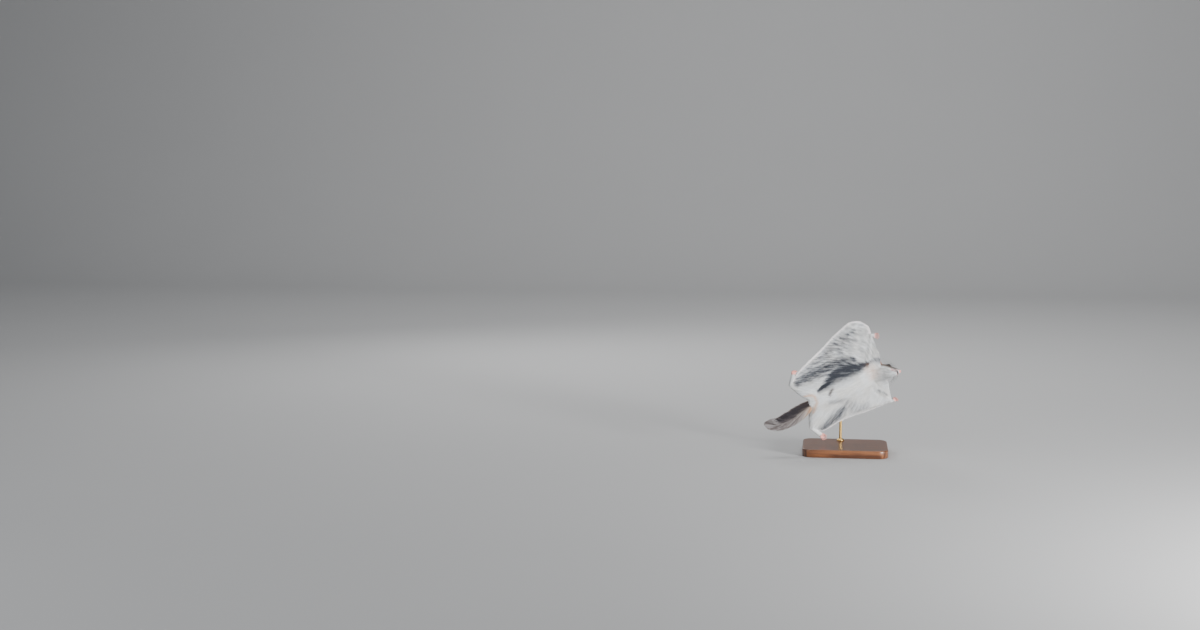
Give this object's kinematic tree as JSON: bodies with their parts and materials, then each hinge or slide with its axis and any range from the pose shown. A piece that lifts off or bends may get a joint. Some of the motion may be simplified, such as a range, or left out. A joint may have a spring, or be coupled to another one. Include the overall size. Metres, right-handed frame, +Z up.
{
  "type": "flying squirrel model",
  "caption": "Life-size gliding flying squirrel with spread membranes and a flat tail, banked over a wooden base on a bent brass rod.",
  "frame": {"origin": "centre of the underside of the stand's base, on the floor", "axes": "+Z up; +X along the base's long side, towards the end that the animal's head points to; +Y to the side that its back faces"},
  "size_m": [0.238, 0.1345, 0.2384],
  "materials": {
    "body_coat": "soft white belly fur with grey bases, grey-brown on the back",
    "head_coat": "short fur, buff at the throat, greyer on the crown",
    "membrane_coat": "thin short fur, white below and grey-brown above",
    "tail_coat": "long flat fur, buff below and grey-brown above",
    "bare_skin": "bare or thinly haired pink skin",
    "eye_gloss": "wet black",
    "stand_wood": "dark stained hardwood, satin",
    "stand_brass": "brushed"
  },
  "bodies": {
    "root": {"ear_left": "bare_skin", "ear_right": "bare_skin", "eye_left": "eye_gloss", "eye_right": "eye_gloss", "fore_web_left": "membrane_coat", "fore_web_right": "membrane_coat", "foreleg_left": "body_coat", "foreleg_right": "body_coat", "forepaw_left": "bare_skin", "forepaw_right": "bare_skin", "head": "head_coat", "hindfoot_left": "bare_skin", "hindfoot_right": "bare_skin", "hindleg_left": "body_coat", "hindleg_right": "body_coat", "neck": "body_coat", "nose": "bare_skin", "stand_base": "stand_wood", "stand_rod": "stand_brass", "tail": "tail_coat", "torso": "body_coat", "wing_left": "membrane_coat", "wing_right": "membrane_coat"}
  },
  "joints": []
}
